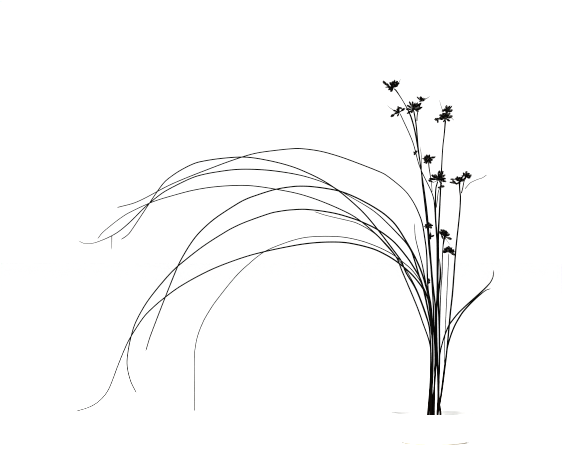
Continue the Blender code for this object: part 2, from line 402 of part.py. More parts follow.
def leaning_route(name, foot, route, row_depth, slope):
    """The way of a piece in space, each point with how much of the whole length lies below it."""
    line = smooth_line(shifted_foot(name, foot) + route)
    heights = [0.0]
    for a, b in zip(line, line[1:]):
        heights.append(heights[-1] + (b - a).length)
    rows = []
    for point, distance in zip(line, heights):
        depth = row_depth + slope * distance * distance / (distance + LEAN_START)
        rows.append((set_back(point.x, point.y, depth), distance / heights[-1]))
    rows[0][0].z = SOIL_CROWN_Z + GAP
    return rows


def straight_depth_route(points, first_depth, last_depth):
    line = smooth_line(points, 1.0)
    route = []
    for index, point in enumerate(line):
        share = index / (len(line) - 1)
        route.append((set_back(point.x, point.y, first_depth + (last_depth - first_depth) * share), share))
    return route


def width_at(widths, share):
    for (start, first), (end, last) in zip(widths, widths[1:]):
        if share <= end:
            return first + (last - first) * (share - start) / (end - start)
    return widths[-1][1]


def swept(name, route, section, collection, mat, scale, widths, tilt, tolerance):
    """A section carried along a route; its widths and tilt follow the share of the length."""
    rows = []
    for (start, _), (end, _) in zip(widths, widths[1:]):
        rows += thin_out([row for row in route if start <= row[1] <= end], tolerance)
    steps = zip(rows, rows[1:])
    rows = [row for row, after in steps if (after[0] - row[0]).length > SHORTEST_STEP] + rows[-1:]
    curve = bpy.data.curves.new(name, "CURVE")
    curve.dimensions = "3D"
    curve.twist_mode = "MINIMUM"
    curve.bevel_mode = "OBJECT"
    curve.bevel_object = section
    curve.use_fill_caps = True
    spline = curve.splines.new("POLY")
    spline.points.add(len(rows) - 1)
    for point, (place, share) in zip(spline.points, rows):
        point.co = (*place, 1.0)
        point.radius = scale * width_at(widths, share)
        point.tilt = tilt(share)
    return add_object(name, curve, collection, mat)


def section_guide(name, corners, collection):
    curve = bpy.data.curves.new(name, "CURVE")
    curve.dimensions = "2D"
    spline = curve.splines.new("POLY")
    spline.points.add(len(corners) - 1)
    for point, (x, y) in zip(spline.points, corners):
        point.co = (x, y, 0.0, 1.0)
    spline.use_cyclic_u = True
    guide = add_object(name, curve, collection)
    guide.hide_render = True
    guide.display_type = "WIRE"
    return guide


def untwisted(share):
    return 0.0


def untwisted(share):
    return 0.0


def blade_tilt(quarter_turns, twist):
    def tilt(share):
        return quarter_turns * math.pi / 2 + twist * math.sin(math.pi * share)
    return tilt


def turned(name, profile, collection, mat):
    """A closed profile (radius, height), inner side first and the outer side down, turned about Z."""
    mesh = bpy.data.meshes.new(name)
    form = bmesh.new()
    corners = [form.verts.new((radius, 0.0, height)) for radius, height in profile]
    for a, b in zip(corners, corners[1:]):
        form.edges.new((a, b))
    form.to_mesh(mesh)
    form.free()
    obj = add_object(name, mesh, collection, mat)
    screw = obj.modifiers.new("Turn", "SCREW")
    screw.steps = BOWL_SIDES
    screw.render_steps = BOWL_SIDES
    screw.use_merge_vertices = True
    screw.merge_threshold = 0.00001
    return obj


def wall_radius(height):
    """The bowl's outer side: upright at the rim, turning in towards the foot."""
    spread = BOWL_RIM_RADIUS - BOWL_FOOT_RADIUS
    return BOWL_FOOT_RADIUS + spread * math.sin(math.pi / 2 * height / BOWL_HEIGHT)


def make_bowl(collection):
    glaze = material("white_glaze", (0.86, 0.86, 0.84), 0.25)
    half = BOWL_WALL / 2
    inner = []
    for height in (BOWL_FLOOR, *INSIDE_HEIGHTS, SOIL_EDGE_Z):
        inner.append((wall_radius(height) - BOWL_WALL, height))
    inner[0] = (inner[0][0] - FLOOR_CORNER, BOWL_FLOOR)
    rim_radius = wall_radius(BOWL_HEIGHT - half) - half
    rim = []
    for degrees in (180, 135, 90, 45, 0):
        angle = math.radians(degrees)
        rim.append((rim_radius + half * math.cos(angle), BOWL_HEIGHT - half + half * math.sin(angle)))
    outer = [(wall_radius(height), height) for height in OUTSIDE_HEIGHTS]
    foot = [(BOWL_FOOT_RADIUS, FOOT_BEVEL), (BOWL_FOOT_RADIUS - FOOT_BEVEL, 0.0), (0.0, 0.0)]
    profile = [(0.0, BOWL_FLOOR)] + inner + rim + outer + foot
    turned("bowl", profile, collection, glaze)


def make_soil(collection):
    earth = material("dark_soil", (0.03, 0.025, 0.02), 0.95)
    side = []
    for height in (SOIL_EDGE_Z, *reversed(INSIDE_HEIGHTS), BOWL_FLOOR):
        side.append((wall_radius(height) - BOWL_WALL - GAP, height))
    side[-1] = (side[-1][0] - FLOOR_CORNER, BOWL_FLOOR + GAP)
    crown = [
        (0.0, SOIL_CROWN_Z), (SOIL_CROWN_RADIUS, SOIL_CROWN_Z), (SOIL_SHOULDER_RADIUS, SOIL_SHOULDER_Z)]
    turned("soil", crown + side + [(0.0, BOWL_FLOOR + GAP)], collection, earth)


def core_ball(form, centre):
    made = bmesh.ops.create_icosphere(form, subdivisions=1, radius=HEAD_CORE_WIDTH / 2 * MM)
    bmesh.ops.translate(form, vec=centre, verts=made["verts"])


def spikelet(form, start, tip, width):
    """One spikelet: a spindle from start to tip, widest beyond its middle."""
    made = bmesh.ops.create_uvsphere(form, u_segments=3, v_segments=3, radius=0.5)
    for corner in made["verts"]:
        corner.co.z += CLUB_SHIFT * (1.0 - 4.0 * corner.co.z * corner.co.z)
    along = tip - start
    turn = along.to_track_quat("Z", "Y").to_matrix().to_4x4()
    bmesh.ops.scale(form, vec=(width, width, along.length), verts=made["verts"])
    bmesh.ops.transform(form, matrix=turn, verts=made["verts"])
    bmesh.ops.translate(form, vec=(start + tip) / 2, verts=made["verts"])


def mesh_from(form, name):
    bmesh.ops.recalc_face_normals(form, faces=form.faces)
    mesh = bpy.data.meshes.new(name)
    form.to_mesh(mesh)
    form.free()
    return mesh


def flower_head(name, centre, depth, spikelets, collection, cutters, mat):
    """Spikelets fused to the small core that they grow from, or to one another."""
    form = bmesh.new()
    core_ball(form, set_back(*centre, depth))
    head = add_object(name, mesh_from(form, name), collection, mat)
    form = bmesh.new()
    for x, z, back, width, *foot in spikelets:
        foot_x, foot_z, foot_back = foot or (*centre, 0)
        start = set_back(foot_x, foot_z, depth + foot_back)
        spikelet(form, start, set_back(x, z, depth + back), width * SPIKELET_FULLNESS * MM)
    bundle = add_object(name + "_spikelets", mesh_from(form, name + "_spikelets"), cutters)
    bundle.hide_render = True
    bundle.display_type = "WIRE"
    fuse = head.modifiers.new("Fuse", "BOOLEAN")
    fuse.operation = "UNION"
    fuse.solver = "EXACT"
    fuse.use_self = True
    fuse.object = bundle
    return head


def main():
    clear_scene()
    parts = new_collection("potted_sedge")
    guides = new_collection("guides")
    leaf_green = material("sedge_leaf", (0.012, 0.014, 0.009), 0.55)
    stem_green = material("sedge_stem", (0.010, 0.011, 0.007), 0.5)
    head_brown = material("sedge_flower", (0.008, 0.006, 0.004), 0.7)

    blade = section_guide("blade_section", [
        (BLADE_WIDTH / 2, BLADE_DEPTH / 2), (0.0, -BLADE_DEPTH / 2), (-BLADE_WIDTH / 2, BLADE_DEPTH / 2),
        (0.0, 0.0)], guides)
    corners = []
    for index in range(6):
        angle = math.radians(-60 * index)
        reach = STEM_WIDTH / 2 * (1.0 if index % 2 == 0 else STEM_FLAT)
        corners.append((reach * math.cos(angle), reach * math.sin(angle)))
    three_sided = section_guide("stem_section", corners, guides)

    make_bowl(parts)
    make_soil(parts)
    for name, row, slope, scale, foot, route in LEFT_LEAVES:
        line = leaning_route(name, foot, route, (row - CENTRE_ROW_LEFT) * ROW_LEFT, slope)
        widths = OWN_BLADES.get(name, LONG_BLADE)
        swept(name, line, blade, parts, leaf_green, scale, widths, blade_tilt(-1, 0.25), LEAF_TOLERANCE)
    for name, row, slope, scale, foot, route in RIGHT_LEAVES:
        line = leaning_route(name, foot, route, (row - CENTRE_ROW_RIGHT) * ROW_RIGHT, slope)
        swept(name, line, blade, parts, leaf_green, scale, RIGHT_BLADE, blade_tilt(1, -0.2), LEAF_TOLERANCE)
    name, row, slope, scale, foot, route = MIDDLE_BLADE
    line = leaning_route(name, foot, route, (row - CENTRE_ROW_RIGHT) * ROW_RIGHT, slope)
    swept(name, line, blade, parts, leaf_green, scale, BROAD_BLADE, untwisted, LEAF_TOLERANCE)
    for name, row, slope, widths, foot, route in STEMS:
        line = leaning_route(name, foot, route, (row - CENTRE_ROW_RIGHT) * ROW_RIGHT, slope)
        swept(name, line, three_sided, parts, stem_green, 1.0, widths, untwisted, STEM_TOLERANCE)
    for name, first_depth, last_depth, widths, route in STALKS:
        line = straight_depth_route(route, first_depth, last_depth)
        swept(name, line, three_sided, parts, stem_green, 1.0, widths, untwisted, STALK_TOLERANCE)
    for name, centre, depth, spikelets in HEADS:
        flower_head(name, centre, depth, spikelets, parts, guides, head_brown)


main()
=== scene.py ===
"""How the potted sedge looks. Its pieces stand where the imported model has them, in the same frame."""

import math
import random

import bmesh
import bpy
import numpy as np
from mathutils import Matrix, Vector, noise


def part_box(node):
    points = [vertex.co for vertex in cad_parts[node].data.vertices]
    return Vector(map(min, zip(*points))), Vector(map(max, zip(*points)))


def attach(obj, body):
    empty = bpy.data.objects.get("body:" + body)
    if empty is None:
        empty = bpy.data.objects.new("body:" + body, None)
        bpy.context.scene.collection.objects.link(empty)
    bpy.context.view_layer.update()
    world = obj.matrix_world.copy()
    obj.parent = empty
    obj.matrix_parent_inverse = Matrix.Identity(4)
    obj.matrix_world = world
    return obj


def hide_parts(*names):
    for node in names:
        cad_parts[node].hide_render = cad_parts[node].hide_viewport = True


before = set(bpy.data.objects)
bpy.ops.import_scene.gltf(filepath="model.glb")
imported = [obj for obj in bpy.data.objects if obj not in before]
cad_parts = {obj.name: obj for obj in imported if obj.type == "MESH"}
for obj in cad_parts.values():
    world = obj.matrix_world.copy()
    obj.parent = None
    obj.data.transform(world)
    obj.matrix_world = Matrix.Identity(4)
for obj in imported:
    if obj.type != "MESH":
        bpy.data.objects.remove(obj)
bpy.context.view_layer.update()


# The bowl is a low round dish of stoneware, thrown on a wheel in one piece and dipped in satin white
# glaze. Its flat foot was wiped clean before the firing, so a narrow band of bare pale clay shows there.
MM = 0.001
WALL = 5 * MM
FLOOR = 6 * MM
INNER_FILLET = 3 * MM
FOOT_RADIUS = 48 * MM
FOOT_BEVEL = 1.2 * MM
INSIDE_STEPS = 12
RIM_STEPS = 12
OUTSIDE_STEPS = 16
BEVEL_STEPS = 6
BOWL_TURN_STEPS = 96
bowl_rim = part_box("bowl")[1]
BOWL_RADIUS = bowl_rim.x
BOWL_HEIGHT = bowl_rim.z

# A Mix node has sockets of the same name for each kind of data, so these are picked by their number.
MIX_FACTOR = 0
MIX_FIRST = 6
MIX_SECOND = 7
MIX_COLOUR = 2


class Tap:
    """One output of a material's node, on which sums are written as plain expressions."""

    def __init__(self, tree, socket):
        self.tree = tree
        self.socket = socket

    def add(self, kind, settings=None, sockets=None, output=0):
        """A new node, with its settings made first and then its sockets; gives one output of it."""
        node = self.tree.nodes.new(kind)
        for name, setting in (settings or {}).items():
            if name == "stops":
                for index, (place, colour) in enumerate(setting):
                    stops = node.color_ramp.elements
                    stop = stops[index] if index < len(stops) else stops.new(place)
                    stop.position = place
                    stop.color = colour
            else:
                setattr(node, name, setting)
        for name, value in (sockets or {}).items():
            if isinstance(value, Tap):
                self.tree.links.new(value.socket, node.inputs[name])
            else:
                node.inputs[name].default_value = value
        return Tap(self.tree, node.outputs[output])

    def maths(self, operation, first, second=0.0):
        return self.add("ShaderNodeMath", {"operation": operation}, {0: first, 1: second})

    def __add__(self, other):
        return self.maths("ADD", self, other)

    __radd__ = __add__

    def __sub__(self, other):
        return self.maths("SUBTRACT", self, other)

    def __rsub__(self, other):
        return self.maths("SUBTRACT", other, self)

    def __mul__(self, other):
        return self.maths("MULTIPLY", self, other)

    __rmul__ = __mul__

    def sine(self):
        return self.maths("SINE", self)

    def ramp(self, low, high):
        """0 up to low, 1 from high on, and a soft rise between them."""
        sockets = {"Value": self, "From Min": low, "From Max": high}
        return self.add("ShaderNodeMapRange", {"interpolation_type": "SMOOTHSTEP"}, sockets)

    def mix(self, first, second):
        """The first colour where this value is 0 and the second where it is 1."""
        sockets = {MIX_FACTOR: self, MIX_FIRST: first, MIX_SECOND: second}
        return self.add("ShaderNodeMix", {"data_type": "RGBA"}, sockets, MIX_COLOUR)

    def noise(self, scale, detail=2.0, rough=0.5):
        """Cloudy noise at this place. More detail adds finer clouds, and rough makes them stronger."""
        sockets = {"Vector": self, "Scale": scale, "Detail": detail, "Roughness": rough}
        return self.add("ShaderNodeTexNoise", {}, sockets)

    def bump(self, distance, strength=1.0):
        """A surface raised by this value."""
        sockets = {"Height": self, "Distance": distance, "Strength": strength}
        return self.add("ShaderNodeBump", {}, sockets)


class Finish:
    """A material with one Principled shader, and the taps that its colours and relief are made from."""

    def __init__(self, name, **fixed):
        self.material = bpy.data.materials.new(name)
        self.material.use_nodes = True
        self.tree = self.material.node_tree
        self.shader = self.tree.nodes["Principled BSDF"]
        for socket, value in fixed.items():
            self.shader.inputs[socket.replace("_", " ")].default_value = value
        self.start = Tap(self.tree, None)

    def place(self):
        """Where a point of the piece is, in metres."""
        return self.start.add("ShaderNodeTexCoord", output="Object")

    def height(self):
        return self.start.add("ShaderNodeSeparateXYZ", {}, {0: self.place()}, 2)

    def attribute(self, name):
        return self.start.add("ShaderNodeAttribute", {"attribute_name": name}, {}, 2)

    def streaks(self, across_scale, along_scale, detail, rough=0.5):
        """Noise on a leaf or a stem, with one scale across it and another along it."""
        places = {
            0: self.attribute("across") * across_scale,
            1: self.attribute("lift") * across_scale,
            2: self.attribute("along") * along_scale}
        return self.start.add("ShaderNodeCombineXYZ", {}, places).noise(1.0, detail, rough)

    def feed(self, **varying):
        for socket, tap in varying.items():
            self.tree.links.new(tap.socket, self.shader.inputs[socket.replace("_", " ")])


CREASE = 40


def new_piece(name, form, finish, slot, *nodes, crease=CREASE):
    """The form as an object of its own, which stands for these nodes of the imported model."""
    mesh = bpy.data.meshes.new(name)
    form.to_mesh(mesh)
    form.free()
    mesh.shade_smooth()
    mesh.set_sharp_from_angle(angle=math.radians(crease))
    mesh.materials.append(finish.material)
    piece = bpy.data.objects.new(name, mesh)
    bpy.context.scene.collection.objects.link(piece)
    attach(piece, "root")
    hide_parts(*nodes)


MERGE = 0.001 * MM


def turned(profile, steps):
    """A form turned about the bowl's axis, from (radius, height) corners that begin and end on it."""
    form = bmesh.new()
    corners = [form.verts.new((radius, 0.0, height)) for radius, height in profile]
    edges = [form.edges.new(pair) for pair in zip(corners, corners[1:])]
    bmesh.ops.spin(form, geom=corners + edges, cent=(0, 0, 0), axis=(0, 0, 1), angle=math.tau,
                   steps=steps, use_merge=True)
    bmesh.ops.remove_doubles(form, verts=form.verts, dist=MERGE)
    bmesh.ops.recalc_face_normals(form, faces=form.faces)
    return form


def side_radius(height):
    """The bowl's outer side: upright at the rim, turning in towards the foot."""
    bulge = math.sin(math.pi / 2 * height / BOWL_HEIGHT)
    return FOOT_RADIUS + (BOWL_RADIUS - FOOT_RADIUS) * bulge


CLOUD_NOISE = (30.0, 3.0)
SPECK_NOISE = (900.0, 1.0)
SPECK_EDGE = (0.74, 0.80)
SPECK_SHARE = 0.35
NOISE_MIDDLE = 0.5
WAVER_SCALE = 220.0
BARE_BAND = 1.6 * MM
BAND_WAVER = 1.2 * MM
BAND_EDGE = 0.2 * MM
THIN_BAND = 2.5 * MM
THIN_SHARE = 0.9
WHEEL_RINGS = 1900.0
RING_WAVER = 3.0
RING_RELIEF = 0.05
CLAY_SCALE = 1600.0
CLAY_RELIEF = 0.25
GLAZE_RELIEF = 0.5 * MM
GLAZE_BUMP = 0.5
GLAZE_ROUGHNESS = 0.20
CLOUD_ROUGHNESS = 0.12
BARE_ROUGHNESS = 0.55
GLAZE_COAT = 0.35
GLAZE_WHITE = (0.93, 0.93, 0.92, 1)
GLAZE_THIN = (0.88, 0.875, 0.86, 1)
GLAZE_SPECK = (0.42, 0.38, 0.32, 1)
BARE_CLAY = (0.70, 0.66, 0.58, 1)


def white_glaze():
    finish = Finish("white_glaze", Specular_IOR_Level=0.45, Coat_Roughness=0.12)
    place = finish.place()
    height = finish.height()
    cloud = place.noise(*CLOUD_NOISE)
    speck = place.noise(*SPECK_NOISE).ramp(*SPECK_EDGE)
    waver = (place.noise(WAVER_SCALE) - NOISE_MIDDLE) * BAND_WAVER
    bare = (BARE_BAND - height + waver).ramp(-BAND_EDGE, BAND_EDGE)
    thin = (height - (BOWL_HEIGHT - THIN_BAND)).ramp(0.0, THIN_BAND) * cloud
    glaze = (thin * THIN_SHARE).mix(GLAZE_WHITE, GLAZE_THIN)
    glaze = (speck * SPECK_SHARE).mix(glaze, GLAZE_SPECK)
    rings = (height * WHEEL_RINGS + cloud * RING_WAVER).sine()
    relief = cloud + rings * RING_RELIEF + bare * place.noise(CLAY_SCALE) * CLAY_RELIEF
    finish.feed(
        Base_Color=bare.mix(glaze, BARE_CLAY),
        Roughness=bare * BARE_ROUGHNESS + cloud * CLOUD_ROUGHNESS + GLAZE_ROUGHNESS,
        Coat_Weight=(1 - bare) * GLAZE_COAT,
        Normal=relief.bump(GLAZE_RELIEF, GLAZE_BUMP))
    return finish


half_wall = WALL / 2
rim_centre = side_radius(BOWL_HEIGHT - half_wall) - half_wall
outline = [(0.0, FLOOR)]
for step in range(INSIDE_STEPS + 1):
    height = FLOOR + (BOWL_HEIGHT - WALL - FLOOR) * step / INSIDE_STEPS
    fillet = 0.0 if step else INNER_FILLET
    outline.append((side_radius(height) - WALL - fillet, height))
for step in range(RIM_STEPS + 1):
    angle = math.pi * (1 - step / RIM_STEPS)
    rim_height = BOWL_HEIGHT - half_wall + half_wall * math.sin(angle)
    outline.append((rim_centre + half_wall * math.cos(angle), rim_height))
for step in range(1, OUTSIDE_STEPS + 1):
    share = step / OUTSIDE_STEPS
    height = (BOWL_HEIGHT - half_wall) * (1 - share) + 2 * FOOT_BEVEL * share
    outline.append((side_radius(height), height))
for step in range(BEVEL_STEPS + 1):
    angle = math.pi / 2 * step / BEVEL_STEPS
    radius = FOOT_RADIUS - FOOT_BEVEL * (1 - math.cos(angle))
    outline.append((radius, FOOT_BEVEL * (1 - math.sin(angle))))
outline.append((0.0, 0.0))
new_piece("glazed_bowl", turned(outline, BOWL_TURN_STEPS), white_glaze(), "glaze", "bowl")


# The soil is dark peaty compost pressed in round the roots, a little higher in the middle, and still
# moist. Small clods, bits of bark and a few pale grains of grit lie loose on it.
SOIL_EDGE = 35 * MM
SOIL_GAP = 0.4 * MM
SOIL_SUNK = 0.5 * MM
LEVEL_SHARE = 0.3
LUMPS = ((90.0, 0.7 * MM), (260.0, 0.45 * MM))
WALL_HEIGHTS = (27 * MM, 16 * MM)
SOIL_RINGS = 26
SOIL_TURN_STEPS = 90
SOIL_CREASE = 80
GRAIN_COUNT = 1500
GRAIN_SMALLEST = 0.35 * MM
GRAIN_SPREAD = 1.0 * MM
GRAIN_SKEW = 3
GRAIN_LIFT = 0.2
GRAIN_BREADTH = (0.55, 0.4)
GRAIN_HEIGHT = (0.45, 0.3)
GRAIN_MARGIN = 1.5 * MM
GRAIN_CREASE = 25
GRAIN_SEED = 11
crown_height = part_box("soil")[1].z
soil_radius = side_radius(SOIL_EDGE) - WALL - SOIL_GAP
soil_floor = FLOOR + SOIL_GAP


def soil_height(x, y):
    """The lumpy top of the soil, highest round the stems."""
    reach = math.hypot(x, y) / soil_radius
    fall = (crown_height - SOIL_EDGE) * max(0.0, reach - LEVEL_SHARE) / (1 - LEVEL_SHARE)
    spot = Vector((x, y, 0.0))
    lumps = sum(noise.noise(spot * scale) * size for scale, size in LUMPS)
    return crown_height - SOIL_SUNK - fall + lumps


def small_shape(name, form):
    """A shape to strew copies of; its corners carry how far along it they are, and a tone set later."""
    along = form.verts.layers.float.new("along")
    form.verts.layers.float.new("tone")
    for corner in form.verts:
        corner[along] = corner.co.z
    mesh = bpy.data.meshes.new(name)
    form.to_mesh(mesh)
    form.free()
    return mesh


def strew(form, shape, placed, tone):
    """One more copy of a small shape in the form, placed by a matrix, with its tone for the material."""
    copy = shape.copy()
    copy.transform(placed)
    copy.attributes["tone"].data.foreach_set("value", [tone] * len(copy.vertices))
    form.from_mesh(copy)
    bpy.data.meshes.remove(copy)


CLOD_NOISE = (240.0, 5.0, 0.65)
CLOD_RELIEF = 1.2 * MM
DRY_NOISE = (45.0, 3.0)
DRY_EDGE = (0.45, 0.7)
SOIL_ROUGHNESS = 0.65
DRY_ROUGHNESS = 0.25
SOIL_DARK = (0.012, 0.009, 0.007, 1)
SOIL_DRY = (0.045, 0.034, 0.025, 1)


def moist_soil():
    finish = Finish("moist_soil", Specular_IOR_Level=0.25)
    place = finish.place()
    clods = place.noise(*CLOD_NOISE)
    dry = place.noise(*DRY_NOISE).ramp(*DRY_EDGE)
    finish.feed(
        Base_Color=(dry * clods).mix(SOIL_DARK, SOIL_DRY),
        Roughness=dry * DRY_ROUGHNESS + SOIL_ROUGHNESS,
        Normal=clods.bump(CLOD_RELIEF))
    return finish


GRAIN_NOISE = (1500.0, 3.0)
GRAIN_SHADE = 0.5
GRAIN_RELIEF = 0.15 * MM
GRAIN_ROUGHNESS = 0.7
GRAIN_MOTTLE_ROUGHNESS = 0.2
GRIT_STOPS = [
    (0.0, (0.010, 0.007, 0.005, 1)), (0.6, (0.05, 0.035, 0.024, 1)), (0.93, (0.22, 0.20, 0.17, 1))]


def loose_grit():
    finish = Finish("loose_grit", Specular_IOR_Level=0.3)
    tone = finish.attribute("tone")
    colour = tone.add("ShaderNodeValToRGB", {"stops": GRIT_STOPS}, {0: tone})
    mottle = finish.place().noise(*GRAIN_NOISE)
    finish.feed(
        Base_Color=(mottle * GRAIN_SHADE).mix(colour, SOIL_DARK),
        Roughness=mottle * GRAIN_MOTTLE_ROUGHNESS + GRAIN_ROUGHNESS,
        Normal=mottle.bump(GRAIN_RELIEF))
    return finish


outline = [(soil_radius * step / SOIL_RINGS, crown_height) for step in range(SOIL_RINGS + 1)]
outline += [(side_radius(height) - WALL - SOIL_GAP, height) for height in WALL_HEIGHTS]
outline += [(side_radius(FLOOR) - WALL - INNER_FILLET - SOIL_GAP, soil_floor), (0.0, soil_floor)]
soil = turned(outline, SOIL_TURN_STEPS)
for corner in soil.verts:
    if corner.co.z > SOIL_EDGE:
        corner.co.z = soil_height(corner.co.x, corner.co.y)
new_piece("soil_bed", soil, moist_soil(), "soil", "soil", crease=SOIL_CREASE)

draw = random.Random(GRAIN_SEED)
grain = bmesh.new()
bmesh.ops.create_icosphere(grain, subdivisions=1, radius=1.0)
grain = small_shape("grain", grain)
grit = bmesh.new()
for index in range(GRAIN_COUNT):
    reach = (soil_radius - GRAIN_MARGIN) * math.sqrt(draw.random())
    angle = math.tau * draw.random()
    spot = Vector((reach * math.cos(angle), reach * math.sin(angle), 0.0))
    size = GRAIN_SMALLEST + GRAIN_SPREAD * draw.random() ** GRAIN_SKEW
    spot.z = soil_height(spot.x, spot.y) + size * GRAIN_LIFT
    turn = Matrix.Rotation(math.tau * draw.random(), 4, "Z") @ Matrix.Rotation(draw.random(), 4, "X")
    breadth, height = [least + spread * draw.random() for least, spread in (GRAIN_BREADTH, GRAIN_HEIGHT)]
    squashed = Matrix.Diagonal((1.0, breadth, height, 1.0))
    placed = Matrix.Translation(spot) @ turn @ squashed @ Matrix.Scale(size, 4)
    strew(grit, grain, placed, draw.random())
new_piece("soil_grit", grit, loose_grit(), "soil", "soil", crease=GRAIN_CREASE)


# The culms are the stiff flowering stems: solid, pithy and bluntly three-sided, rising from the soil.
# A thin brown sheath wraps the foot of each, and fine ribs run up it. Side stalks are thinner culms.
STEM_NODES = ["stem_%d" % number for number in range(1, 9)]
STALK_NODES = ["stalk_%d" % number for number in range(1, 5)]
STEM_CORNERS = 12
STEM_STEP = 2 * MM
STALK_CORNERS = 9
STALK_STEP = 1 * MM
BLUNTNESS = 0.07
ROOTED = 3 * MM
POINT_REACH = 1.5
SHEATH_SWELL = 0.12
SHEATH_RISE = 1.5 * MM
SHEATH_LOWEST = 30 * MM
SHEATH_SPACING = 7 * MM
SHEATH_STRIDE = 3


def sections_of(node, corners):
    """The sections of a swept solid from the lowest one up, each a list of its corners."""
    form = bmesh.new()
    form.from_mesh(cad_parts[node].data)
    bmesh.ops.remove_doubles(form, verts=form.verts, dist=MERGE)
    form.verts.index_update()
    ring = sorted(form.verts, key=lambda corner: corner.co.z)[:corners]
    passed = set(ring)
    sections = []
    while ring:
        sections.append([corner.co.copy() for corner in ring])
        near = {edge.other_vert(corner) for corner in ring for edge in corner.link_edges}
        ring = sorted(near - passed, key=lambda corner: corner.index)
        passed.update(ring)
    form.free()
    return sections


def stem_rows(node):
    """Centre, side and keel of each section of a six-cornered stem, sized by its three long corners."""
    rows = []
    side = Vector((1, 0, 0))
    keel = Vector((0, 1, 0))
    for ring in sections_of(node, 6):
        centre = sum(ring, Vector()) / len(ring)
        reaches = sorted((corner - centre for corner in ring), key=lambda reach: -reach.length)[:3]
        reaches.sort(key=lambda reach: -reach.dot(side))
        side = reaches[0]
        across = (reaches[1] - reaches[2]) / math.sqrt(3)
        keel = across if across.dot(keel) > 0 else -across
        rows.append((centre, side, keel))
    return rows


def smoothed(rows, step):
    """Rows of centre, side and keel passed through on one smooth curve, with a row about every step."""
    places = np.array([[*centre, *side, *keel] for centre, side, keel in rows])
    spans = np.linalg.norm(np.diff(places[:, :3], axis=0), axis=1)
    slopes = np.diff(places, axis=0) / spans[:, None]
    weights = (spans[:-1] / (spans[:-1] + spans[1:]))[:, None]
    inner = slopes[:-1] * weights + slopes[1:] * (1 - weights)
    tangents = np.vstack([slopes[:1], inner, slopes[-1:]])
    curve = []
    for start, end, leave, arrive, span in zip(places, places[1:], tangents, tangents[1:], spans):
        count = max(1, round(span / step))
        for t in np.arange(count) / count:
            pull = (leave * (1 - t) - arrive * t) * t * (1 - t) * span
            curve.append(start + (end - start) * t * t * (3 - 2 * t) + pull)
    curve.append(places[-1])
    return [(Vector(row[:3]), Vector(row[3:6]), Vector(row[6:])) for row in curve]


def with_share(rows):
    """Each row with its distance along the whole run, from 0 to 1, and the run's length."""
    distances = [0.0]
    for before, after in zip(rows, rows[1:]):
        distances.append(distances[-1] + (after[0] - before[0]).length)
    length = distances[-1]
    return [(*row, distance / length) for row, distance in zip(rows, distances)], length


def rooted(rows):
    """The same rows, with one more at the start, down in the soil."""
    centre, side, keel = rows[0]
    return [(centre - Vector((0, 0, ROOTED)), side, keel)] + rows


def draw_out(form, section, rows, swell=None):
    """A closed section of (across, lift) corners, drawn out along the rows and then to a point."""
    layers = form.verts.layers.float
    names = ("across", "lift", "along", "share")
    across, lift, along, part = [layers.get(name) or layers.new(name) for name in names]
    rows, length = with_share(rows)
    ring = bmesh.ops.create_circle(form, cap_ends=True, segments=len(section), radius=1.0)["verts"]
    for corner, (sideways, upwards) in zip(ring, section):
        corner[across] = sideways
        corner[lift] = upwards
    edges = list({edge for corner in ring for edge in corner.link_edges})
    for number, (centre, side, keel, share) in enumerate(rows):
        if number:
            made = bmesh.ops.extrude_edge_only(form, edges=edges)["geom"]
            ring = [item for item in made if isinstance(item, bmesh.types.BMVert)]
            fresh = set(ring)
            edges = [item for item in made if isinstance(item, bmesh.types.BMEdge)
                     and fresh.issuperset(item.verts)]
        size = swell(share * length) if swell else 1.0
        for corner in ring:
            corner.co = centre + (side * corner[across] + keel * corner[lift]) * size
            corner[along] = share * length
            corner[part] = share
    centre, side, keel, share = rows[-1]
    onward = (centre - rows[-2][0]).normalized() * side.length * POINT_REACH
    bmesh.ops.pointmerge(form, verts=ring, merge_co=centre + onward)


def drawn_piece(name, section, rows, finish, slot, node, swell=None, crease=CREASE):
    """A piece that is one section drawn out along the rows."""
    form = bmesh.new()
    draw_out(form, section, rows, swell)
    bmesh.ops.recalc_face_normals(form, faces=form.faces)
    new_piece(name, form, finish, slot, node, crease=crease)


def three_sided(corners):
    """A bluntly three-sided section of radius 1."""
    section = []
    for index in range(corners):
        angle = math.tau * index / corners
        reach = 1 - BLUNTNESS + BLUNTNESS * math.cos(3 * angle)
        section.append((reach * math.cos(angle), reach * math.sin(angle)))
    return section


def sheathed(mouth):
    """A stem is thicker inside its sheath, up to the sheath's mouth."""
    def swell(distance):
        return 1.0 + SHEATH_SWELL * min(1.0, max(0.0, (mouth - distance) / SHEATH_RISE))
    return swell


CULM_STREAKS = (3.2, 45.0, 4.0, 0.6)
CULM_RIBS = (7.0, 6.0, 1.0)
STREAK_EDGE = (0.35, 0.8)
SHEATH_FADE = (0.035, 0.085)
SHEATH_WAVER = 0.02
SHEATH_SHARE = 0.8
CULM_RELIEF = 0.16 * MM
CULM_STREAK_RELIEF = 0.4
CULM_ROUGHNESS = 0.38
CULM_STREAK_ROUGHNESS = 0.3
CULM_BLACK = (0.0035, 0.0040, 0.0027, 1)
CULM_DULL = (0.0095, 0.0100, 0.0062, 1)
SHEATH_BROWN = (0.022, 0.011, 0.006, 1)


def ribbed_culm():
    finish = Finish("ribbed_culm", Specular_IOR_Level=0.08)
    streak = finish.streaks(*CULM_STREAKS)
    ribs = finish.streaks(*CULM_RIBS)
    foot = 1 - (finish.attribute("along") + streak * SHEATH_WAVER).ramp(*SHEATH_FADE)
    culm = streak.ramp(*STREAK_EDGE).mix(CULM_BLACK, CULM_DULL)
    finish.feed(
        Base_Color=(foot * SHEATH_SHARE).mix(culm, SHEATH_BROWN),
        Roughness=streak * CULM_STREAK_ROUGHNESS + CULM_ROUGHNESS,
        Normal=(ribs + streak * CULM_STREAK_RELIEF).bump(CULM_RELIEF))
    return finish


